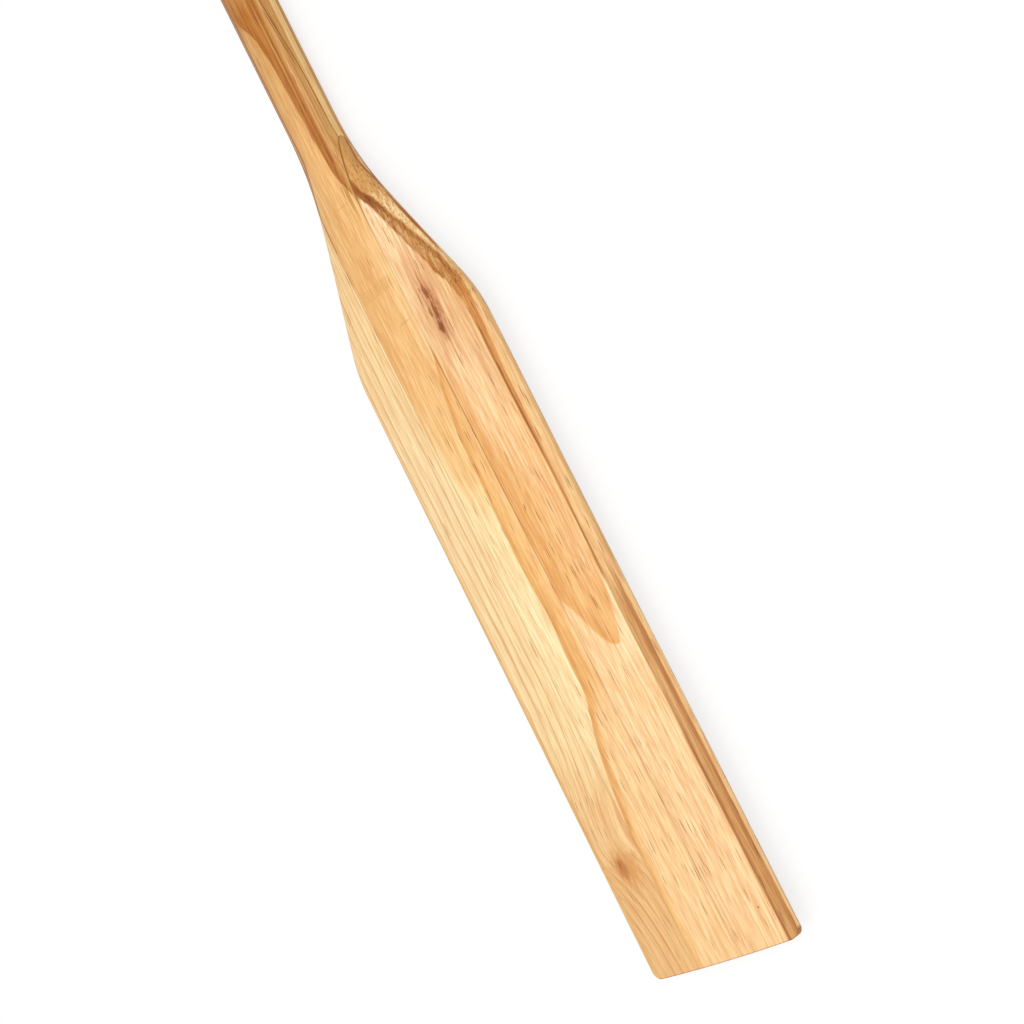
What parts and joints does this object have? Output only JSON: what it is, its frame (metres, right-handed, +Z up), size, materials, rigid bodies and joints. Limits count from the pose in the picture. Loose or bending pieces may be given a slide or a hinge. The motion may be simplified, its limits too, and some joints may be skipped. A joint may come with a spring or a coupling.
{
  "type": "rowing oar",
  "caption": "Wooden rowing oar with a turned hand grip, a round loom and a flat blade glued up from pine boards and bevelled along its edges.",
  "frame": {"origin": "under the middle of the oar, at the level of its lowest point, as it lies with the blade's face up", "axes": "+X runs along the oar from the butt to the blade tip, +Y across the blade towards the right wing, +Z up out of the blade's face"},
  "size_m": [2.134, 0.151, 0.0413],
  "materials": {
    "pine_honey": "clear satin varnish over straight-grained pine",
    "pine_cream": "clear satin varnish over pale pine",
    "pine_tan": "clear satin varnish over pinkish tan pine"
  },
  "bodies": {
    "root": {"loom_stave": "pine_honey", "left_wing": "pine_cream", "right_wing": "pine_tan"}
  },
  "joints": []
}
